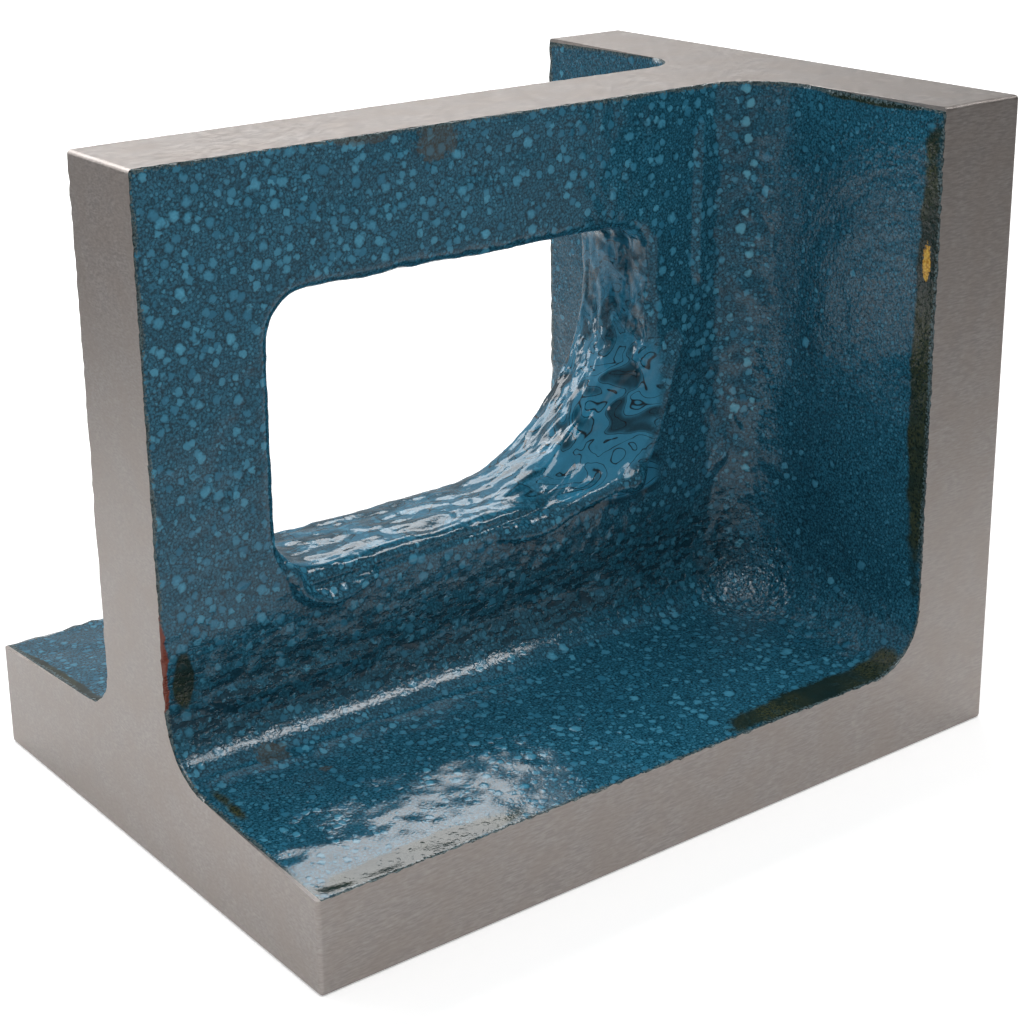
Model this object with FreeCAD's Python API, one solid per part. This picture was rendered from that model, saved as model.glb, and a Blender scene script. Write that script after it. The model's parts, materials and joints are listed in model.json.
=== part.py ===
import FreeCAD, Part
import math
import os

from FreeCAD import Vector

# Angle plate: one grey-iron casting, ground square on all six outer sides.
# A base and a wall stand at right angles, and a web with a window joins them down the middle.
# Millimetres. X runs along the base from its free end to the wall, Y across the plate, Z up.
# The origin is at the middle of the plate's footprint, on the surface that it stands on.

# ground block
length = 158.8              # along the base, free end to the wall's outer face
width = 114.3               # across the base and the wall
height = 127.0              # bottom of the base to the top of the wall
stoned_edge = 0.8           # radius on the ground outer edges

# base and wall, as they come out of the mould
base_lip_front = 17.4       # base thickness at its front edge
base_lip_back = 20.7        # the mould halves did not quite meet, so the back half is thicker
wall_lip_front = 20.3       # wall thickness at its front edge
wall_lip_back = 19.9        # wall thickness at its back edge
base_draft = 4.2            # degrees that each base top rises towards the web
wall_draft = 2.0            # degrees that each wall face thickens towards the web

# web
web_thick = 21.4
web_shift = 0.85            # web's middle behind the plate's middle

# fillets in the two pockets: up the corner of wall and web, then round the floor
corner_fillet_front = 14.5
corner_fillet_back = 9.5
floor_fillet_front = 12.0
floor_fillet_back = 9.0

# window through the web, measured at the web's faces
window_end_gap = 24.3       # free end to the window
window_lean = 0.5           # how much nearer the wall the window starts at its top
window_wall_gap = 27.5      # window to the wall's face, beside the web
window_top_gap = 25.5       # window to the top of the web
window_base_gap = 29.7      # window to the base's top, beside the web
window_round_end = 8.0      # radius of both corners on the free end's side
window_round_top = 6.0      # radius of the upper corner on the wall's side
window_round_deep = 38.0    # radius of the lower corner there, where the load is carried
window_round_mouth = 16.0   # radius of that corner at the front face, where it opens out
window_scoop = 6.5          # depth of the opening-out
window_draft = 3.0          # degrees that the window narrows from each face to the parting plane
window_rim = 2.5            # radius round the window's front and back rims

# worked out from the sizes above
free_end = -length / 2
heel = length / 2
half_width = width / 2
parting = web_shift
web_front = parting - web_thick / 2
web_back = parting + web_thick / 2
overrun = 20.0              # how far a cutting shape runs out of the casting
tiny = 0.001


def rise(run, degrees):
    """Distance that a drafted face gains over a run."""
    return run * math.tan(math.radians(degrees))


def base_top(y):
    """Height of the base's top at the depth y, on either side of the web."""
    lip = base_lip_front if y < parting else base_lip_back
    return lip + rise(half_width - abs(y), base_draft)


def wall_face(y):
    """Place along X of the wall's inner face at the depth y, on either side of the web."""
    lip = wall_lip_front if y < parting else wall_lip_back
    return heel - lip - rise(half_width - abs(y), wall_draft)


def ground_block():
    """Outer block with its stoned edges."""
    block = Part.makeBox(length, width, height, Vector(free_end, -half_width, 0))
    return block.makeFillet(stoned_edge, block.Edges)


def edge_between(shape, start, end):
    """The shape's straight edge from one point to the other, or its first stretch from the start."""
    direction = (end - start).normalize()
    for edge in shape.Edges:
        ends = [vertex.Point for vertex in edge.Vertexes]
        near = min(ends, key=start.distanceToPoint)
        far = max(ends, key=start.distanceToPoint)
        if near.distanceToPoint(start) < tiny and (far - near).normalize().dot(direction) > 1 - tiny:
            return edge


def pocket(web_y, side, corner_fillet, floor_fillet):
    """Solid that hollows out one side of the casting, with its inner edges rounded."""
    mouth_y = side * (half_width + overrun)
    near, far = sorted([web_y, mouth_y])
    left = free_end - overrun
    top = height + overrun
    body = Part.makeWedge(
        left, near, base_top(near), base_top(far), left,
        wall_face(near), far, top, top, wall_face(far),
    )
    corner_top = Vector(wall_face(web_y), web_y, top)
    corner_foot = Vector(wall_face(web_y), web_y, base_top(web_y))
    body = body.makeFillet(corner_fillet, [edge_between(body, corner_top, corner_foot)])
    web_foot = Vector(left, web_y, base_top(web_y))
    return body.makeFillet(floor_fillet, [edge_between(body, web_foot, corner_foot)])


def rounded_outline(y, corners, radii):
    """Closed outline in the plane at y, with an arc at each corner."""
    arcs = []
    count = len(corners)
    for i, (corner, radius) in enumerate(zip(corners, radii)):
        to_last = (corners[i - 1] - corner).normalize()
        to_next = (corners[(i + 1) % count] - corner).normalize()
        half_angle = to_last.getAngle(to_next) / 2
        reach = radius / math.tan(half_angle)
        bisector = (to_last + to_next).normalize()
        middle = corner + bisector * (radius / math.sin(half_angle) - radius)
        arcs.append([corner + to_last * reach, middle, corner + to_next * reach])
    edges = []
    for arc, following in zip(arcs, arcs[1:] + arcs[:1]):
        edges.append(Part.Arc(*arc).toShape())
        edges.append(Part.makeLine(arc[2], following[0]))
    return Part.Wire(edges)


def window_outline(y, lower_radius):
    """Window's outline at the depth y, narrowed by its draft towards the parting plane."""
    inset = rise(web_thick / 2 - abs(y - parting), window_draft)
    left = free_end + window_end_gap + inset
    right = wall_face(web_front) - window_wall_gap - inset
    low = base_top(web_front) + window_base_gap + inset
    high = height - window_top_gap - inset
    corners = [
        Vector(left, y, low),
        Vector(right, y, low),
        Vector(right, y, high),
        Vector(left + window_lean, y, high),
    ]
    room = high - low - window_round_top - tiny
    radii = [window_round_end, min(lower_radius, room), window_round_top, window_round_end]
    return rounded_outline(y, corners, radii)


def window():
    """Solid that cuts the window, drafted from both faces, with its deep corner scooped out in front."""
    outlines = [
        window_outline(web_front, window_round_mouth),
        window_outline(web_front + window_scoop, window_round_deep),
        window_outline(parting, window_round_deep),
        window_outline(web_back, window_round_deep),
    ]
    return Part.makeLoft(outlines, True, True)


def lies_on(edge, outline):
    """True if the middle of the edge is on the outline."""
    middle = edge.valueAt((edge.FirstParameter + edge.LastParameter) / 2)
    return Part.Vertex(middle).distToShape(outline)[0] < tiny


def angle_plate():
    """Whole casting."""
    front = pocket(web_front, -1, corner_fillet_front, floor_fillet_front)
    back = pocket(web_back, 1, corner_fillet_back, floor_fillet_back)
    casting = ground_block().cut([front, back]).cut(window())
    front_rim = window_outline(web_front, window_round_mouth)
    back_rim = window_outline(web_back, window_round_deep)
    rims = [edge for edge in casting.Edges if lies_on(edge, front_rim) or lies_on(edge, back_rim)]
    return casting.makeFillet(window_rim, rims)


os.makedirs("parts", exist_ok=True)
plate = angle_plate()
plate.exportStep("parts/angle_plate.step")
box = plate.optimalBoundingBox()
print("angle_plate:", len(plate.Solids), "solid, valid", plate.isValid())
print("volume cm3", round(plate.Volume / 1000, 1))
print("box mm", round(box.XLength, 2), round(box.YLength, 2), round(box.ZLength, 2))
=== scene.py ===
# %% [markdown]
# # A cast-iron angle plate
# An angle plate holds work square to a machine table. This one is a single iron casting: a base,
# an upright wall, and a web that ties them together, with a window through the web. The outside
# faces are ground, and everything inside the pockets keeps its rough cast skin under thick paint.
#
# The sizes come from the CAD model, which is loaded first and never changed.

# %% Load the CAD model
import bpy
import json
import math
import numpy as np
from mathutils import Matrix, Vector, kdtree

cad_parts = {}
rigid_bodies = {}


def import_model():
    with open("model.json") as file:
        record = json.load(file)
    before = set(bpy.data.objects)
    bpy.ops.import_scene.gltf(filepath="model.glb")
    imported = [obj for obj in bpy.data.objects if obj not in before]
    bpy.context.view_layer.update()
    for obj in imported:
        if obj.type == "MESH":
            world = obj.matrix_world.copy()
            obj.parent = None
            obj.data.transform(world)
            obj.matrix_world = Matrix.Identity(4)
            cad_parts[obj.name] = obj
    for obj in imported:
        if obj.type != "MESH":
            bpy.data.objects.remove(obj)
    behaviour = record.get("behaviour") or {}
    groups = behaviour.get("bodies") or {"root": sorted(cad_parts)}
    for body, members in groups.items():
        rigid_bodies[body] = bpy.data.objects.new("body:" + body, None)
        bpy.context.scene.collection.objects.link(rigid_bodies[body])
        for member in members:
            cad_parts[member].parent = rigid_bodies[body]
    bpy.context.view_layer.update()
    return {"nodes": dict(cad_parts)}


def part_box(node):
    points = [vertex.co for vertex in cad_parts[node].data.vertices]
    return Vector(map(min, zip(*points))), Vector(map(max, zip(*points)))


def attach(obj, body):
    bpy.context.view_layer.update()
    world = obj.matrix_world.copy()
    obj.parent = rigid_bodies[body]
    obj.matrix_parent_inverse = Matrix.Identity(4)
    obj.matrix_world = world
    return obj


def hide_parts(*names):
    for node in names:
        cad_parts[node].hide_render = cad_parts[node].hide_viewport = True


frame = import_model()
LOW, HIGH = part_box("angle_plate")
print("angle plate, mm:", [round(side * 1000, 1) for side in HIGH - LOW])

# %% [markdown]
# ## Camera, floor and light
# A catalogue view of a small tool is taken from a little above, on a white floor under large soft
# lamps. The camera comes first, because everything after it is judged through it.
# The floor is nearly white, and where the camera sees it, a little light of its own takes it up to
# white. The shadow of the plate stays in the diffuse part. In reflections it darkens towards the
# camera and far behind, as a table does under lamps that stand close round it.

# %% Camera
bpy.ops.object.camera_add(location=(-0.23055, -0.30626, 0.19427),
                          rotation=[math.radians(turn) for turn in (71.899, 0.635, -37.601)])
camera = bpy.context.object
camera.data.lens = 73.87
camera.data.shift_x = 0.0023
camera.data.shift_y = -0.1055
camera.data.clip_start = 0.01
bpy.context.scene.camera = camera
bpy.context.scene.view_settings.view_transform = "Standard"
print("camera lens, mm:", camera.data.lens)


# %% Helpers for node trees
def add(tree, kind, inputs=None, **settings):
    """A new node with its settings, and with its inputs set to values or linked to sockets."""
    node = tree.nodes.new(kind)
    for name, value in settings.items():
        setattr(node, name, value)
    for name, value in (inputs or {}).items():
        if isinstance(value, bpy.types.NodeSocket):
            tree.links.new(value, node.inputs[name])
        else:
            node.inputs[name].default_value = value
    return node


def calc(tree, operation, *values, clamp=False):
    """The result of one Math node."""
    inputs = dict(enumerate(values))
    return add(tree, "ShaderNodeMath", inputs, operation=operation, use_clamp=clamp).outputs[0]


def fade(tree, value, start, end, low=0.0, high=1.0):
    """A smooth change from low to high while value goes from start to end."""
    inputs = {"Value": value, "From Min": start, "From Max": end, "To Min": low, "To Max": high}
    return add(tree, "ShaderNodeMapRange", inputs, interpolation_type="SMOOTHSTEP").outputs[0]


def blend(tree, amount, first, second, mode="MIX"):
    """Two colours mixed by amount."""
    mix = add(tree, "ShaderNodeMix", data_type="RGBA", blend_type=mode, clamp_factor=True)
    for socket, value in zip((mix.inputs[0], mix.inputs[6], mix.inputs[7]), (amount, first, second)):
        if isinstance(value, bpy.types.NodeSocket):
            tree.links.new(value, socket)
        else:
            socket.default_value = value
    return mix.outputs[2]


def colour(red, green, blue):
    """A linear colour from the 0 to 255 values that a screen shows."""
    return [((c / 255 + 0.055) / 1.055) ** 2.4 for c in (red, green, blue)] + [1.0]


def new_material(name):
    """An empty node material and its output node."""
    material = bpy.data.materials.new(name)
    material.use_nodes = True
    material.node_tree.nodes.clear()
    return material, add(material.node_tree, "ShaderNodeOutputMaterial")


# %% Floor
bpy.ops.mesh.primitive_plane_add(size=12)
floor = bpy.context.object
floor.name = "studio_floor"
material, output = new_material("white floor")
tree = material.node_tree
rays = add(tree, "ShaderNodeLightPath")
where = add(tree, "ShaderNodeSeparateXYZ", {"Vector": add(tree, "ShaderNodeTexCoord").outputs["Object"]})
near = fade(tree, where.outputs["Y"], -0.23, -0.09, 0.36, 1.0)
near = calc(tree, "MULTIPLY", near, fade(tree, where.outputs["Y"], 0.32, 0.16, 0.4, 1.0))
near = calc(tree, "MULTIPLY", near, fade(tree, where.outputs["X"], -0.3, -0.12, 0.6, 1.0))
mirrored = rays.outputs["Is Glossy Ray"]
tint = add(tree, "ShaderNodeMix", {0: mirrored, 2: 0.87, 3: near}).outputs[0]
tint = add(tree, "ShaderNodeCombineColor", {0: tint, 1: tint, 2: tint}).outputs[0]
matt = add(tree, "ShaderNodeBsdfDiffuse", {"Color": tint})
away = add(tree, "ShaderNodeVectorMath", {0: add(tree, "ShaderNodeTexCoord").outputs["Object"]}, operation="LENGTH").outputs["Value"]
lift = calc(tree, "MULTIPLY", calc(tree, "SUBTRACT", 1.0, mirrored), fade(tree, away, 0.3, 1.5, 0.35, 0.9))
lift = calc(tree, "MULTIPLY", lift, calc(tree, "MAXIMUM", rays.outputs["Is Camera Ray"], rays.outputs["Is Transmission Ray"]))
lift = add(tree, "ShaderNodeEmission", {"Color": (1, 1, 1, 1), "Strength": lift})
both = add(tree, "ShaderNodeAddShader", {0: matt.outputs[0], 1: lift.outputs[0]})
tree.links.new(both.outputs[0], output.inputs["Surface"])
floor.data.materials.append(material)
print("floor material:", material.name)

# %% World and lamps
world = bpy.data.worlds.new("studio")
bpy.context.scene.world = world
world.use_nodes = True
tree = world.node_tree
tree.nodes.clear()
rays = add(tree, "ShaderNodeLightPath")
seen = calc(tree, "MAXIMUM", rays.outputs["Is Camera Ray"], rays.outputs["Is Transmission Ray"])
ahead = add(tree, "ShaderNodeSeparateXYZ", {"Vector": add(tree, "ShaderNodeTexCoord").outputs["Generated"]})
backdrop = fade(tree, ahead.outputs["Y"], -0.4, 0.4, 0.2, 0.45)
strength = add(tree, "ShaderNodeMix", {0: rays.outputs["Is Glossy Ray"], 2: 0.4, 3: backdrop}).outputs[0]
strength = add(tree, "ShaderNodeMix", {0: seen, 2: strength, 3: 1.0}).outputs[0]
light = add(tree, "ShaderNodeBackground", {"Color": (1, 1, 1, 1), "Strength": strength})
output = add(tree, "ShaderNodeOutputWorld")
tree.links.new(light.outputs[0], output.inputs["Surface"])


def lamp(name, place, aim, width, height, power):
    """A soft rectangular lamp at a place, turned towards the point it lights."""
    bpy.ops.object.light_add(type="AREA", location=place)
    light = bpy.context.object
    light.name = name
    light.data.shape = "RECTANGLE"
    light.data.size = width
    light.data.size_y = height
    light.data.energy = power
    light.rotation_euler = (Vector(aim) - Vector(place)).to_track_quat("-Z", "Y").to_euler()
    print(name, power, "W")
    return light


MIDDLE = (0, 0, 0.06)
lamp("back softbox", (0.25, 0.8, 0.85), MIDDLE, 1.0, 0.4, 5.5)
lamp("back lamp", (-0.28, 0.8, 0.64), MIDDLE, 0.3, 0.55, 2.8)
lamp("left lamp", (-0.66, 0.72, 0.33), MIDDLE, 0.22, 0.22, 0.9)
lamp("right strip", (0.57, -0.41, 0.82), (0.57, 0, 0.02), 0.5, 0.16, 2.3)
lamp("top softbox", (-0.3, -0.3, 1.25), MIDDLE, 0.55, 0.55, 4.8)

# %% [markdown]
# ## The casting as one mesh
# The real plate is poured in one piece, so it is one mesh here as well. It starts as a copy of the
# CAD mesh, because every face is then in its true place. The copy is loose triangles, so they are
# merged first. A face that lies in one of the six planes of the outside is ground, with the edges
# that a stone has rounded; all the rest is cast and painted.

# %% Copy the CAD mesh
EDGE = 0.85


def millimetres(mesh):
    """Vertex places as an array in mm: from the free end, from the front face, and up."""
    places = np.empty(len(mesh.vertices) * 3, np.float32)
    mesh.vertices.foreach_get("co", places)
    return (places.reshape(-1, 3).astype(float) - np.array(LOW)) * 1000


def only(piece):
    """Selects one object and nothing else."""
    bpy.ops.object.select_all(action="DESELECT")
    piece.select_set(True)
    bpy.context.view_layer.objects.active = piece


def edit(piece, mode="FACE"):
    """Opens one object in edit mode."""
    only(piece)
    bpy.ops.object.mode_set(mode="EDIT")
    bpy.ops.mesh.select_mode(type=mode)


def leave():
    bpy.ops.object.mode_set(mode="OBJECT")


casting = frame["nodes"]["angle_plate"].copy()
casting.data = casting.data.copy()
casting.name = "painted_casting"
casting.parent = None
for key in list(casting.keys()):
    del casting[key]
bpy.context.scene.collection.objects.link(casting)
casting.data.materials.clear()
for name in list(casting.data.attributes.keys()):
    if casting.data.attributes[name].name in ("custom_normal", "sharp_face", "UVMap"):
        casting.data.attributes.remove(casting.data.attributes[name])
ground, output = new_material("ground cast iron")
paint, output = new_material("hammered paint")
casting.data.materials.append(ground)
casting.data.materials.append(paint)
edit(casting)
bpy.ops.mesh.select_all(action="SELECT")
bpy.ops.mesh.remove_doubles(threshold=0.00001)
bpy.ops.mesh.normals_make_consistent(inside=False)
leave()
print("merged copy:", len(casting.data.vertices), "points,", len(casting.data.polygons), "faces")


# %% Tell ground faces from painted ones
def mark_ground(mesh):
    """Gives each face its material: 0 where it is ground, 1 where it is painted."""
    points = millimetres(mesh)
    size = np.array(HIGH - LOW) * 1000
    near = np.hstack([points < EDGE, points > size - EDGE])
    for face in mesh.polygons:
        face.material_index = 0 if near[list(face.vertices)].all(axis=0).any() else 1


mark_ground(casting.data)
kinds = np.array([face.material_index for face in casting.data.polygons])
areas = np.array([face.area for face in casting.data.polygons]) * 1e6
print("ground area, mm2:", round(areas[kinds == 0].sum()), " painted area:", round(areas[kinds == 1].sum()))

# %% [markdown]
# ## A finer mesh under the paint
# Cast iron keeps the grain of the sand that it was poured in, and thick paint adds sags and beads.
# That relief needs many small faces, and the merged copy has long thin ones. A voxel remesh would
# make small faces everywhere but would round the ground edges. Cutting every long painted edge in
# two, again and again, keeps all the true edges. Between the cuts, points that have come too close
# are merged, and beautify swaps diagonals, so the small triangles stay even. They are smallest
# round the window, and larger at the back.

# %% Cut long painted edges
def longest_allowed(points):
    """The longest edge wanted, in mm, at each point."""
    across = np.maximum(22 - points[:, 0], points[:, 0] - 117)
    along = np.maximum(41.5 - points[:, 2], points[:, 2] - 103)
    by_window = np.maximum(across, along) < 1
    front = np.where(by_window, 0.8, 1.3)
    back = np.where(by_window & (points[:, 1] < 71), 1.0, 2.1)
    front = np.where(points[:, 1] < 2, 0.7, front)
    return np.where(points[:, 1] > 66, back, front)


def face_kinds(mesh):
    """The material of each face, and the faces' corners as a list of materials."""
    kinds = np.empty(len(mesh.polygons), int)
    mesh.polygons.foreach_get("material_index", kinds)
    corners = np.empty(len(mesh.polygons), int)
    mesh.polygons.foreach_get("loop_total", corners)
    return kinds, np.repeat(kinds, corners)


def corner_list(mesh, what):
    """The point or edge number of every face corner."""
    numbers = np.empty(len(mesh.loops), int)
    mesh.loops.foreach_get(what, numbers)
    return numbers


def free_points(mesh):
    """True for each point with paint all round it, away from the ground faces."""
    free = np.ones(len(mesh.vertices), bool)
    free[corner_list(mesh, "vertex_index")[face_kinds(mesh)[1] == 0]] = False
    return free


def long_edges(mesh):
    """True for each painted edge that is longer than it may be."""
    ends = np.empty(len(mesh.edges) * 2, int)
    mesh.edges.foreach_get("vertices", ends)
    points = millimetres(mesh)[ends.reshape(-1, 2)]
    length = np.linalg.norm(points[:, 1] - points[:, 0], axis=1)
    painted = np.zeros(len(mesh.edges), bool)
    painted[corner_list(mesh, "edge_index")[face_kinds(mesh)[1] == 1]] = True
    return painted & (length > longest_allowed(points.mean(axis=1)))


def edit_chosen(piece, points=None, edges=None, faces=None):
    """Opens edit mode with just these points, edges or faces selected."""
    only(piece)
    chosen = (points, edges, faces)
    bpy.context.tool_settings.mesh_select_mode = [wanted is not None for wanted in chosen]
    mesh = piece.data
    for items, wanted in zip((mesh.vertices, mesh.edges, mesh.polygons), chosen):
        items.foreach_set("select", np.zeros(len(items), bool) if wanted is None else wanted)
    bpy.ops.object.mode_set(mode="EDIT")


def even_out():
    """Makes triangles of all faces in edit mode, with the best diagonals on nearly flat ones."""
    bpy.ops.mesh.select_all(action="SELECT")
    bpy.ops.mesh.quads_convert_to_tris()
    bpy.ops.mesh.beautify_fill(angle_limit=math.radians(4))


for turn in range(12):
    wanted = long_edges(casting.data)
    if wanted.sum() < 150:
        break
    edit_chosen(casting, edges=wanted)
    bpy.ops.mesh.subdivide(number_cuts=1, ngon=False)
    even_out()
    leave()
    edit_chosen(casting, points=free_points(casting.data))
    bpy.ops.mesh.remove_doubles(threshold=0.0003)
    even_out()
    leave()
print("rounds:", turn, " triangles:", len(casting.data.polygons))

# %% [markdown]
# Merging leaves a few folded flaps, where an edge has one face or three. They are found, removed
# with their neighbours, and the small holes are filled, so that the casting is closed again.
# A few strokes of smoothing then take the flat facets out of the fillets. The points along the
# ground faces are held, so the outside stays exact. Last, the flat triangles of each ground side
# are dissolved into one face, which stays flat however its border is shaped.

# %% Close the mesh and smooth it
def close_mesh(piece):
    edit_chosen(piece, points=np.zeros(len(piece.data.vertices), bool))
    bpy.ops.mesh.select_non_manifold()
    bpy.ops.mesh.select_more()
    bpy.ops.mesh.delete(type="FACE")
    bpy.ops.mesh.select_all(action="SELECT")
    bpy.ops.mesh.delete_loose()
    bpy.ops.mesh.select_all(action="DESELECT")
    bpy.ops.mesh.select_non_manifold()
    bpy.ops.mesh.fill_holes(sides=0)
    even_out()
    leave()


close_mesh(casting)
edit_chosen(casting, points=free_points(casting.data))
bpy.ops.mesh.vertices_smooth(factor=0.5, repeat=8)
leave()
edit_chosen(casting, faces=face_kinds(casting.data)[0] == 0)
bpy.ops.mesh.dissolve_limited(angle_limit=math.radians(0.5), delimit={"NORMAL"})
leave()
mesh = casting.data
print("after smoothing:", len(mesh.polygons), "faces")

# %% [markdown]
# ## Relief under and in the paint
# The skin of the casting waves a little, sand grain shows where the paint is thin, and thick paint
# ran inside the window before it dried. Each of these is a Displace modifier with its own vertex
# group, so that it works only where the real thing has it, and fades out before the ground edges.

# %% Measure the painted skin
def ramp(value, start, end):
    """A smooth change from 0 to 1 as value goes from start to end."""
    share = np.clip((value - start) / (end - start), 0, 1)
    return share * share * (3 - 2 * share)


def path_distance(points, path):
    """How far points lie from a path of (from end, up) places, and whether they lie above it."""
    flat = points[:, [0, 2]]
    nearest = np.full(len(flat), 1e9)
    above = np.zeros(len(flat), bool)
    for start, stop in zip(path, path[1:]):
        step = np.subtract(stop, start)
        along = np.clip((flat - start) @ step / (step @ step), 0, 1)
        gap = flat - start - along[:, None] * step
        distance = np.linalg.norm(gap, axis=1)
        closer = distance < nearest
        nearest[closer] = distance[closer]
        above[closer] = (step[0] * gap[:, 1] - step[1] * gap[:, 0])[closer] > 0
    return nearest, above


free = free_points(mesh)
points = millimetres(mesh)
border = kdtree.KDTree(int((~free).sum()))
for place in points[~free]:
    border.insert(place, 0)
border.balance()
from_ground = np.array([border.find(place)[2] if loose else 0.0 for place, loose in zip(points, free)])
normals = np.empty(len(mesh.vertices) * 3, np.float32)
mesh.vertex_normals.foreach_get("vector", normals)
normals = normals.reshape(-1, 3)
end_x, front_y, up_z = points.T
on_front = ramp(-normals[:, 1], 0.6, 0.9)
skin = ramp(from_ground, 0.0, 3.0)
print("painted points:", int(free.sum()), " furthest from a ground edge, mm:", round(from_ground.max(), 1))


# %% A helper for one kind of relief
def relief(name, weights, height, size=None, stretch=(1, 1, 1), turn=0, depth=2, way="NORMAL"):
    """Moves the skin by up to height in mm, by a pattern of that size in mm or evenly."""
    group = casting.vertex_groups.new(name=name)
    steps = np.round(np.clip(weights, 0, 1) * 50).astype(int)
    for step in range(1, 51):
        group.add(np.flatnonzero(steps == step).tolist(), step / 50, "REPLACE")
    only(casting)
    displace = casting.modifiers.new(name, "DISPLACE")
    displace.vertex_group = group.name
    displace.direction = way
    displace.strength = height / 1000
    displace.mid_level = 0.0
    if size:
        displace.mid_level = 0.5
        displace.texture = bpy.data.textures.new(name, "CLOUDS")
        displace.texture.noise_scale = size / 1000
        displace.texture.noise_depth = depth
        bpy.ops.object.empty_add(location=(0.011, 0.007, 0.013), rotation=(0, math.radians(turn), 0))
        ruler = bpy.context.object
        ruler.scale = stretch
        displace.texture_coords = "OBJECT"
        displace.texture_coords_object = ruler
        only(casting)
    bpy.ops.object.modifier_apply(modifier=name)
    if size:
        bpy.data.objects.remove(ruler)
        bpy.data.textures.remove(bpy.data.textures[name])
    casting.vertex_groups.clear()
    print(f"{name}: {int((steps > 0).sum())} points, {height} mm")


# %% Waves and grain of the casting
size = np.array(HIGH - LOW) * 1000
on_side = np.minimum(points, size - points) < 0.01
alone = np.minimum(points, size - points) > 1.5
painted_side = np.zeros(len(mesh.vertices), bool)
painted_side[corner_list(mesh, "vertex_index")[face_kinds(mesh)[1] == 1]] = True
border_points = painted_side & ~free & ((on_side | alone).all(axis=1))
for axis, way in enumerate("XYZ"):
    relief("ragged border " + way, border_points & ~on_side[:, axis], 1.0, size=1.3, way=way)
fillet = ramp(-normals[:, 1], 0.2, 0.45) * ramp(normals[:, 2], 0.2, 0.45) * (1 - ramp(up_z, 30, 34))
calm = 1 - 0.8 * fillet * ramp(from_ground, 0, 4) * (1 - ramp(end_x, 112, 124))
relief("slow waves", skin * calm, 0.7, size=11)
in_corner = ramp(end_x, 120, 128) * ramp(front_y, 36, 42) * (1 - ramp(front_y, 50, 52))
low_web = on_front * (1 - ramp(up_z, 40, 46)) * ramp(front_y, 30, 40)
by_wall = ramp(end_x, 118, 128) * (1 - ramp(up_z, 30, 38)) * ramp(from_ground, 4, 10)
grainy = np.maximum.reduce([0.3 * np.ones(len(points)), in_corner, 0.7 * low_web, by_wall])
relief("sand grain", skin * calm * grainy, 0.45, size=2.6)
relief("rough floor corner", skin * by_wall, 0.75, size=1.9)
relief("lumps in the corner", ramp(from_ground, 2, 8) * in_corner, 1.1, size=4.5, stretch=(1, 1, 1.6))

# %% [markdown]
# The window was cored, and its inside is the roughest part: paint ran down its curved corner and
# set in strands. A cloud pattern drawn out along the run of the surface gives them, one for the
# side, one for the corner and one for the sill. First the rim is smoothed wider, because thick
# paint rounds an edge. The lips of paint that hang below the window are raised along given
# paths, steep below and soft above, and the old joints of the wooden pattern the other way round.

# %% The inside of the window
in_window = ramp(end_x, 21, 23) * (1 - ramp(end_x, 111, 113)) * ramp(up_z, 47, 49) * (1 - ramp(up_z, 103, 105))
inside = in_window * ramp(front_y, 46.8, 49) * (1 - ramp(front_y, 67, 69))
low_rim = (front_y > 44) & (front_y < 53) & (in_window > 0) & (up_z < 62) & (normals[:, 2] > 0.12) & free
edit_chosen(casting, points=low_rim)
bpy.ops.mesh.vertices_smooth(factor=0.5, repeat=16)
leave()
in_turn = ramp(end_x, 84, 94) * (1 - ramp(up_z, 76, 84))
side = inside * ramp(end_x, 98, 102) * ramp(up_z, 72, 80) * (1 - 0.6 * ramp(up_z, 97, 101))
sill = inside * (1 - ramp(end_x, 82, 92)) * (1 - ramp(up_z, 56, 62))
relief("flow in the window", inside * (0.4 + 0.6 * in_turn), 1.3, size=6, stretch=(1.8, 1.2, 1), turn=-45)
relief("runs in the corner", inside * in_turn, 1.2, size=2.1, stretch=(3.4, 1, 1), turn=-45, depth=1)
relief("runs down the side", side, 0.9, size=2.1, stretch=(1, 1, 3.0), depth=1)
relief("runs on the sill", sill, 0.9, size=3.2, stretch=(2.6, 1, 1), turn=-10, depth=1)
relief("scoop behind the rim", side * np.clip(1 - np.abs(front_y - 53) / 5.5, 0, 1), -1.0)
relief("parting of the core", inside * np.clip(1 - np.abs(front_y - 59) / 6, 0, 1) * ramp(end_x, 90, 104), 0.7)


def lip(name, path, height, below=(0, 0.7), above=(0.8, 5.0), where=on_front):
    """Raises paint along a path on the front of the web, from full height to none on each side."""
    distance, over = path_distance(points, path)
    relief(name, where * np.where(over, 1 - ramp(distance, *above), 1 - ramp(distance, *below)), height)


lip("lip under the left corner", [(25.8, 52), (27.5, 47), (30, 44.9), (34.2, 43.4), (38.6, 44.2), (43, 46)], 1.8,
    above=(0.6, 2.8))
lip("lip under the right corner", [(76, 45.2), (80, 44.8), (84, 45.3), (87, 46.4), (91, 47.6), (97, 48.6), (105, 50.0)], 2.1,
    above=(1.0, 4.5))
lip("edge of the pool", [(105, 50.0), (109, 53.5), (112, 59), (114.4, 65.5), (116, 72), (118, 76)], 1.6, above=(0.8, 4.5))
lip("step of the floor pattern", [(8, 31.6), (12, 31.4), (20, 31.3), (30, 31.6), (41, 32.0), (47, 32.6)], 1.1,
    above=(0.1, 1.3), below=(0.3, 6.0), where=on_front * (1 - ramp(end_x, 40, 47)) * ramp(end_x, 6, 14))
lip("step of the corner pattern", [(122.6, 118), (122.3, 104), (122.0, 90)], 0.9, below=(0.1, 1.3), above=(0.4, 4.0))
lip("groove by the window rim", [(31, 46.9), (50, 47.9), (68, 48.5), (83, 49.6), (90, 52.0), (96, 56.5)], -0.45,
    below=(0, 0.9), above=(0, 0.9), where=np.ones(len(points)))

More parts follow.
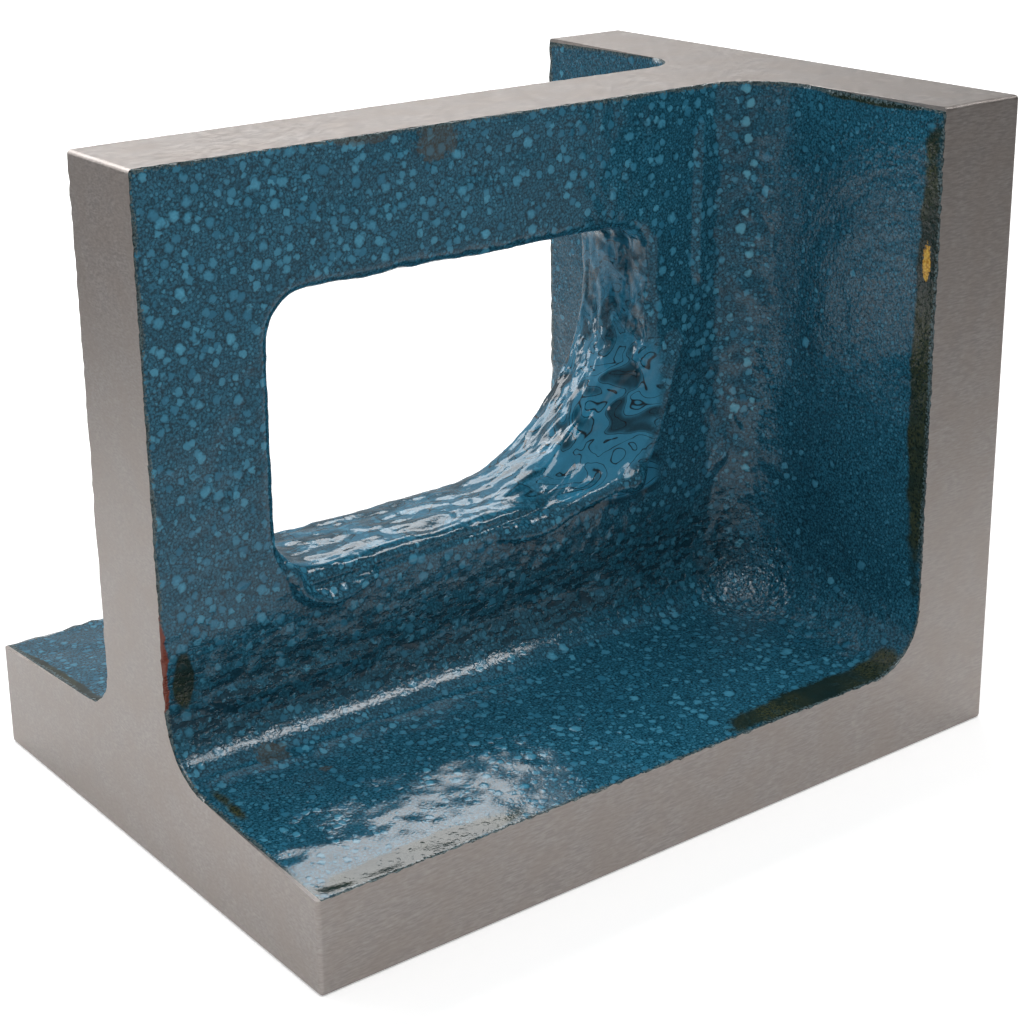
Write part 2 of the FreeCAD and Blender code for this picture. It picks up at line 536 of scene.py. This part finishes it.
# %% Shade and measure
for face in mesh.polygons:
    face.use_smooth = face.material_index == 1
if "from_ground" not in mesh.attributes:
    mesh.attributes.new("from_ground", "FLOAT", "POINT")
mesh.attributes["from_ground"].data.foreach_set("value", from_ground.astype(np.float32))
print("casting box, mm:", [round(side * 1000, 2) for side in casting.dimensions])

# %% [markdown]
# ## Shared patterns
# Two finishes meet on this plate, bare ground iron and hammered paint, and both are made of
# patterns at a known size. Each pattern is a node group that takes a place in millimetres from the
# free end, the front and the underside, so that its size can be set as on a drawing.

# %% Node groups
def new_group(name, inputs, outputs):
    """A shader node group with named sockets, and its input and output nodes."""
    tree = bpy.data.node_groups.new(name, "ShaderNodeTree")
    for label, kind, value in inputs:
        socket = tree.interface.new_socket(label, in_out="INPUT", socket_type="NodeSocket" + kind)
        socket.default_value = value
    for label, kind in outputs:
        tree.interface.new_socket(label, in_out="OUTPUT", socket_type="NodeSocket" + kind)
    return tree, tree.nodes.new("NodeGroupInput").outputs, tree.nodes.new("NodeGroupOutput").inputs


def place_group(tree, group, **inputs):
    """Puts a group in a tree and returns its outputs."""
    inputs = {name.replace("_", " "): value for name, value in inputs.items()}
    return add(tree, "ShaderNodeGroup", inputs, node_tree=group).outputs


def plate_places(tree):
    """Places on the plate in mm: from the free end, from the front face, and up."""
    corner = [-side * 1000 for side in LOW]
    source = add(tree, "ShaderNodeTexCoord").outputs["Object"]
    return add(tree, "ShaderNodeMapping", {"Vector": source, "Location": corner, "Scale": (1000, 1000, 1000)}).outputs[0]


# %% Speckle: a cloud pattern of one size
speckle, given, result = new_group(
    "speckle", [("Place", "Vector", (0, 0, 0)), ("Size", "Float", 1), ("Detail", "Float", 2),
                ("Low", "Float", 0.35), ("High", "Float", 0.65)], [("Amount", "Float")])
scale = calc(speckle, "DIVIDE", 1.0, given["Size"])
clouds = add(speckle, "ShaderNodeTexNoise", {"Vector": given["Place"], "Scale": scale, "Detail": given["Detail"]})
speckle.links.new(fade(speckle, clouds.outputs[0], given["Low"], given["High"]), result["Amount"])

# %% Patch: a soft blob with an uneven edge
patch, given, result = new_group(
    "patch", [("Place", "Vector", (0, 0, 0)), ("Centre", "Vector", (0, 0, 0)), ("Reach", "Vector", (1, 1, 1)),
              ("Raggedness", "Float", 0.4), ("Grain", "Float", 1.0)], [("Amount", "Float")])
offset = add(patch, "ShaderNodeVectorMath", {0: given["Place"], 1: given["Centre"]}, operation="SUBTRACT")
share = add(patch, "ShaderNodeVectorMath", {0: offset.outputs[0], 1: given["Reach"]}, operation="DIVIDE")
distance = add(patch, "ShaderNodeVectorMath", {0: share.outputs[0]}, operation="LENGTH").outputs["Value"]
grain = add(patch, "ShaderNodeTexNoise", {"Vector": given["Place"], "Scale": calc(patch, "DIVIDE", 1.0, given["Grain"]), "Detail": 3.0})
uneven = calc(patch, "MULTIPLY", calc(patch, "SUBTRACT", grain.outputs[0], 0.5), given["Raggedness"])
patch.links.new(fade(patch, calc(patch, "ADD", distance, calc(patch, "MULTIPLY", uneven, 4.0)), 1.0, 0.75), result["Amount"])
print("groups:", [group.name for group in bpy.data.node_groups])

# %% [markdown]
# ## Hammered paint
# Hammered paint sets into round pale beads on a darker ground, because its flakes gather as it
# dries. A bead is a ball round the middle of a Voronoi cell, cut by the surface, so beads of all
# sizes come from one pattern. Three sizes of them lie over each other. Their height goes to a Bump
# node, since a bead stands only a few hundredths of a millimetre proud.

# %% Beads: the cells of hammered paint
beads, given, result = new_group(
    "beads", [("Place", "Vector", (0, 0, 0)), ("Size", "Float", 2), ("Share", "Float", 0.5),
              ("Largest", "Float", 0.45)],
    [("Bead", "Float"), ("Tone", "Float"), ("Rim", "Float"), ("Height", "Float")])
cells = add(beads, "ShaderNodeTexVoronoi", {"Vector": given["Place"], "Scale": calc(beads, "DIVIDE", 1.0, given["Size"])})
chance = add(beads, "ShaderNodeSeparateColor", {"Color": cells.outputs["Color"]})
kept = calc(beads, "LESS_THAN", chance.outputs[0], given["Share"])
radius = calc(beads, "MULTIPLY", given["Largest"], fade(beads, chance.outputs[1], 0.0, 1.0, 0.55, 1.0))
depth = calc(beads, "SUBTRACT", radius, cells.outputs["Distance"])
inside = calc(beads, "MULTIPLY", kept, fade(beads, depth, -0.02, 0.16))
around = calc(beads, "MULTIPLY", kept, fade(beads, depth, -0.1, -0.01))
beads.links.new(inside, result["Bead"])
beads.links.new(calc(beads, "MULTIPLY", chance.outputs[2], fade(beads, depth, 0.0, 0.3, 0.45, 1.0)), result["Tone"])
beads.links.new(calc(beads, "MAXIMUM", calc(beads, "SUBTRACT", around, inside), 0.0), result["Rim"])
beads.links.new(calc(beads, "MULTIPLY", kept, fade(beads, depth, -0.02, 0.25)), result["Height"])
print("beads from cells, inputs:", [socket.name for socket in beads.interface.items_tree][:4])

# %% Coordinates and zones of the paint
tree = paint.node_tree
paint_out = [node for node in tree.nodes if node.type == "OUTPUT_MATERIAL"][0]
place = plate_places(tree)
axes = add(tree, "ShaderNodeSeparateXYZ", {"Vector": place})
from_end, from_front, up = axes.outputs
edge_gap = add(tree, "ShaderNodeAttribute", attribute_name="from_ground", attribute_type="GEOMETRY").outputs["Fac"]
push = add(tree, "ShaderNodeTexNoise", {"Vector": place, "Scale": 1.1, "Detail": 2.0})
push = add(tree, "ShaderNodeVectorMath", {0: push.outputs["Color"], 1: (0.5, 0.5, 0.5)}, operation="SUBTRACT")
bent = add(tree, "ShaderNodeVectorMath", {0: push.outputs[0], 1: (1.3, 1.3, 1.3), 2: place}, operation="MULTIPLY_ADD").outputs[0]
on_wall = fade(tree, from_end, 130.0, 136.0)
on_base = fade(tree, up, 24.0, 20.5)
low = calc(tree, "MULTIPLY", fade(tree, up, 47.0, 36.0), fade(tree, up, 22.0, 26.0))
low_web = calc(tree, "MULTIPLY", low, calc(tree, "MULTIPLY", fade(tree, from_front, 41.0, 46.0), fade(tree, from_front, 50.0, 48.5)))
inner = calc(tree, "MULTIPLY", fade(tree, from_front, 48.0, 50.0), fade(tree, from_front, 68.0, 66.0))
pool = calc(tree, "MULTIPLY", fade(tree, from_end, 84.0, 92.0), calc(tree, "MULTIPLY", fade(tree, up, 84.0, 72.0), fade(tree, from_end, 114.0, 111.0)))
pool = calc(tree, "MULTIPLY", pool, calc(tree, "MULTIPLY", fade(tree, up, 45.0, 47.5), fade(tree, from_front, 45.0, 46.8)))
print("zones: wall, base, low part of the web, window, pool")

# %% Three sizes of bead
coarse = calc(tree, "SUBTRACT", 1.0, calc(tree, "MULTIPLY", on_wall, 0.9))
coarse = calc(tree, "MULTIPLY", coarse, calc(tree, "SUBTRACT", 1.0, calc(tree, "MULTIPLY", pool, 0.8)))
fine_left = calc(tree, "MULTIPLY", on_base, fade(tree, from_end, 60.0, 15.0))
large_share = calc(tree, "MULTIPLY", coarse, calc(tree, "MULTIPLY", fade(tree, from_end, 20.0, 110.0, 0.62, 0.4), calc(tree, "SUBTRACT", 1.0, fine_left)))
highlight_column = place_group(tree, patch, Place=place, Centre=(131.8, 43.6, 78.0), Reach=(3.4, 3.2, 60.0), Raggedness=0.25, Grain=3.0)["Amount"]
large_share = calc(tree, "MAXIMUM", large_share, calc(tree, "MULTIPLY", highlight_column, 0.9))
large = place_group(tree, beads, Place=bent, Size=3.2, Share=large_share, Largest=0.4)
medium = place_group(tree, beads, Place=bent, Size=1.9, Share=fade(tree, coarse, 0.0, 1.0, 0.2, 0.95), Largest=0.5)
small = place_group(tree, beads, Place=place, Size=0.9, Share=0.7, Largest=0.5)
dust = place_group(tree, speckle, Place=place, Size=0.45, Detail=3.0, Low=0.33, High=0.68)
slow = place_group(tree, speckle, Place=place, Size=12.0, Detail=2.0, Low=0.35, High=0.65)

DARK = colour(17, 56, 71)
MID = colour(44, 108, 134)
BEAD_DEEP = colour(42, 112, 142)
BEAD_PALE = colour(86, 166, 196)
tone = blend(tree, dust["Amount"], DARK, MID)
tone = blend(tree, calc(tree, "MULTIPLY", slow["Amount"], 0.3), tone, colour(24, 66, 84))
for layer, amount in ((small, 0.45), (medium, 0.7), (large, 0.8)):
    bead_tone = blend(tree, layer["Tone"], BEAD_DEEP, BEAD_PALE)
    bead_tone = blend(tree, calc(tree, "MULTIPLY", dust["Amount"], 0.25), bead_tone, DARK)
    tone = blend(tree, calc(tree, "MULTIPLY", layer["Rim"], 0.5), tone, colour(8, 32, 42))
    tone = blend(tree, calc(tree, "MULTIPLY", layer["Bead"], amount), tone, bead_tone)
tone = blend(tree, calc(tree, "MULTIPLY", low_web, 0.35), tone, colour(30, 70, 84))
# Large beads down the corner fillet are painted paler: a painted highlight, where the fillet reflects the floor. The
# greater number and size of beads there belong to the paint itself.
tone = blend(tree, calc(tree, "MULTIPLY", highlight_column, calc(tree, "MULTIPLY", large["Bead"], 0.5)), tone, colour(104, 176, 198))

# %% [markdown]
# Where much paint gathered, in the corner of the window, its colours were drawn out into marbled
# lines before it set. A noise with strong distortion has such lines where it passes its middle
# value, and the same noise gives the broad blue and dark parts between them.

# %% Marbled paint in the window
drawn = add(tree, "ShaderNodeMapping", {"Vector": place, "Rotation": (0, math.radians(45), 0), "Scale": (0.4, 0.9, 1.0)}).outputs[0]
swirl = add(tree, "ShaderNodeTexNoise", {"Vector": drawn, "Scale": 0.17, "Detail": 0.6, "Distortion": 1.3}).outputs[0]
veins = calc(tree, "ABSOLUTE", calc(tree, "SUBTRACT", calc(tree, "FRACT", calc(tree, "MULTIPLY", swirl, 7.0)), 0.5))
marble = blend(tree, fade(tree, swirl, 0.38, 0.56), colour(16, 58, 74), colour(52, 128, 160))
marble = blend(tree, fade(tree, veins, 0.09, 0.02), marble, colour(6, 24, 32))
tone = blend(tree, calc(tree, "MULTIPLY", pool, 0.9), tone, marble)
tone = blend(tree, calc(tree, "MULTIPLY", calc(tree, "MULTIPLY", inner, calc(tree, "SUBTRACT", 1.0, pool)), 0.5), tone, marble)

# %% Wrinkles low on the web
turned = add(tree, "ShaderNodeMapping", {"Vector": bent, "Rotation": (0, math.radians(28), 0), "Scale": (0.36, 1.0, 1.0)}).outputs[0]
folds = place_group(tree, speckle, Place=turned, Size=1.15, Detail=2.0, Low=0.4, High=0.5)
shaded_crease = calc(tree, "MULTIPLY", calc(tree, "SUBTRACT", 1.0, folds["Amount"]), low_web)
# The furrows of the wrinkles are painted dark teal: painted shade in the creases, added on top of their bump.
tone = blend(tree, calc(tree, "MULTIPLY", shaded_crease, 0.75), tone, colour(10, 38, 50))

# %% Olive runs and bare patches by the ground edges
OLIVE = (((21, 2.6, 17.6), (25, 3.4, 3)), ((118, 3.0, 18.5), (33, 4.2, 4)), ((3.2, 34, 17.6), (2.2, 9, 3)),
         ((138.3, 2.0, 80), (3, 3.4, 52)), ((138, 17, 126.6), (4, 15, 1.6)), ((0.5, 92, 22), (2.2, 27, 4)),
         ((4.0, 47.3, 37), (2.2, 2, 6)))
olive = 0.0
for centre, reach in OLIVE:
    spot = place_group(tree, patch, Place=place, Centre=centre, Reach=reach, Raggedness=0.16, Grain=5.0)["Amount"]
    olive = calc(tree, "MAXIMUM", olive, spot)
olive_tone = blend(tree, calc(tree, "MULTIPLY", dust["Amount"], slow["Amount"]), colour(24, 34, 22), colour(66, 66, 32))
tone = blend(tree, calc(tree, "MULTIPLY", olive, 0.92), tone, olive_tone)
RUST = (((17, 41, 20.5), (4, 2.5, 3)), ((45, 47.3, 126.5), (6, 2, 1.5)), ((60, 47.3, 124), (5, 2, 3.5)), ((23, 33, 19), (1.5, 1.2, 2)))
rust = 0.0
for centre, reach in RUST:
    spot = place_group(tree, patch, Place=place, Centre=centre, Reach=reach, Raggedness=0.35, Grain=1.2)["Amount"]
    rust = calc(tree, "MAXIMUM", rust, spot)
tone = blend(tree, calc(tree, "MULTIPLY", rust, 0.4), tone, colour(84, 66, 34))
worn = calc(tree, "MULTIPLY_ADD", dust["Amount"], 0.7, calc(tree, "MULTIPLY", slow["Amount"], 0.5))
tone = blend(tree, fade(tree, calc(tree, "SUBTRACT", edge_gap, worn), 0.2, -0.1), tone, blend(tree, dust["Amount"], colour(30, 40, 40), colour(84, 104, 108)))
primer = place_group(tree, patch, Place=place, Centre=(0.0, 47.0, 41.0), Reach=(1.3, 3.0, 9.0), Raggedness=0.35, Grain=2.2)["Amount"]
tone = blend(tree, primer, tone, colour(116, 54, 38))
ochre = place_group(tree, patch, Place=place, Centre=(138.3, 2.6, 97.7), Reach=(2.0, 1.0, 3.9), Raggedness=0.3, Grain=0.8)["Amount"]
tone = blend(tree, calc(tree, "MULTIPLY", ochre, 0.9), tone, blend(tree, dust["Amount"], colour(180, 124, 30), colour(232, 190, 84)))

# %% Height and shader of the paint
height = calc(tree, "MULTIPLY", large["Height"], fade(tree, calc(tree, "MAXIMUM", on_base, highlight_column), 0.0, 1.0, 0.03, 0.06))
height = calc(tree, "MULTIPLY_ADD", medium["Height"], 0.02, height)
height = calc(tree, "MULTIPLY_ADD", small["Height"], 0.008, height)
height = calc(tree, "MULTIPLY_ADD", dust["Amount"], 0.005, height)
height = calc(tree, "MULTIPLY_ADD", shaded_crease, -0.16, height)
pebble = place_group(tree, speckle, Place=bent, Size=1.3, Detail=1.5, Low=0.3, High=0.7)["Amount"]
height = calc(tree, "MULTIPLY_ADD", calc(tree, "MULTIPLY", pebble, on_wall), 0.05, height)
brushed = add(tree, "ShaderNodeMapping", {"Vector": place, "Rotation": (math.radians(25), 0, 0), "Scale": (1.0, 1.0, 0.4)}).outputs[0]
streaks = place_group(tree, speckle, Place=brushed, Size=0.45, Detail=1.0, Low=0.35, High=0.65)["Amount"]
height = calc(tree, "MULTIPLY_ADD", calc(tree, "MULTIPLY", streaks, on_wall), 0.016, height)
grit = place_group(tree, speckle, Place=place, Size=1.4, Detail=2.0, Low=0.35, High=0.65)["Amount"]
in_corner = place_group(tree, patch, Place=place, Centre=(130.0, 39.0, 25.0), Reach=(11.0, 11.0, 12.0), Raggedness=0.2, Grain=4.0)["Amount"]
height = calc(tree, "MULTIPLY_ADD", calc(tree, "MULTIPLY", grit, in_corner), 0.35, height)
bump = add(tree, "ShaderNodeBump", {"Height": height, "Strength": 1.0, "Distance": 0.001})
coat = add(tree, "ShaderNodeBsdfPrincipled", {"Base Color": tone, "Roughness": 0.1, "Normal": bump.outputs[0]})
tree.links.new(coat.outputs[0], paint_out.inputs["Surface"])
print("paint nodes:", len(tree.nodes))

# %% [markdown]
# ## Ground iron
# The outside faces were ground on a surface grinder, which leaves fine parallel scratches, all one
# way on each face. Iron is a metal, so its colour is the colour of what it reflects, and the
# roughness spreads that out.

# %% Iron shader
tree = ground.node_tree
iron_out = [node for node in tree.nodes if node.type == "OUTPUT_MATERIAL"][0]
place = plate_places(tree)
drawn = add(tree, "ShaderNodeMapping", {"Vector": place, "Rotation": (0, math.radians(-6), math.radians(4)), "Scale": (0.22, 0.5, 1.3)}).outputs[0]
scratches = place_group(tree, speckle, Place=drawn, Size=0.42, Detail=3.0, Low=0.3, High=0.7)
cloudy = place_group(tree, speckle, Place=place, Size=7.0, Detail=4.0, Low=0.3, High=0.7)
mottled = place_group(tree, speckle, Place=place, Size=1.1, Detail=3.0, Low=0.3, High=0.7)
iron = blend(tree, scratches["Amount"], colour(150, 144, 141), colour(176, 170, 166))
iron = blend(tree, calc(tree, "MULTIPLY", mottled["Amount"], 0.4), iron, colour(154, 148, 146))
iron = blend(tree, calc(tree, "MULTIPLY", cloudy["Amount"], 0.4), iron, colour(158, 147, 139))
rough = fade(tree, scratches["Amount"], 0.0, 1.0, 0.38, 0.48)
bump = add(tree, "ShaderNodeBump", {"Height": calc(tree, "MULTIPLY", scratches["Amount"], 0.006), "Distance": 0.001})
metal = add(tree, "ShaderNodeBsdfPrincipled", {"Base Color": iron, "Metallic": 1.0, "Roughness": rough, "Normal": bump.outputs[0]})
tree.links.new(metal.outputs[0], iron_out.inputs["Surface"])
print("iron nodes:", len(tree.nodes))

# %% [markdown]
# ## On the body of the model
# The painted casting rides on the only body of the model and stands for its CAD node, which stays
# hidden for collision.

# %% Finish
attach(casting, "root")
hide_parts("angle_plate")
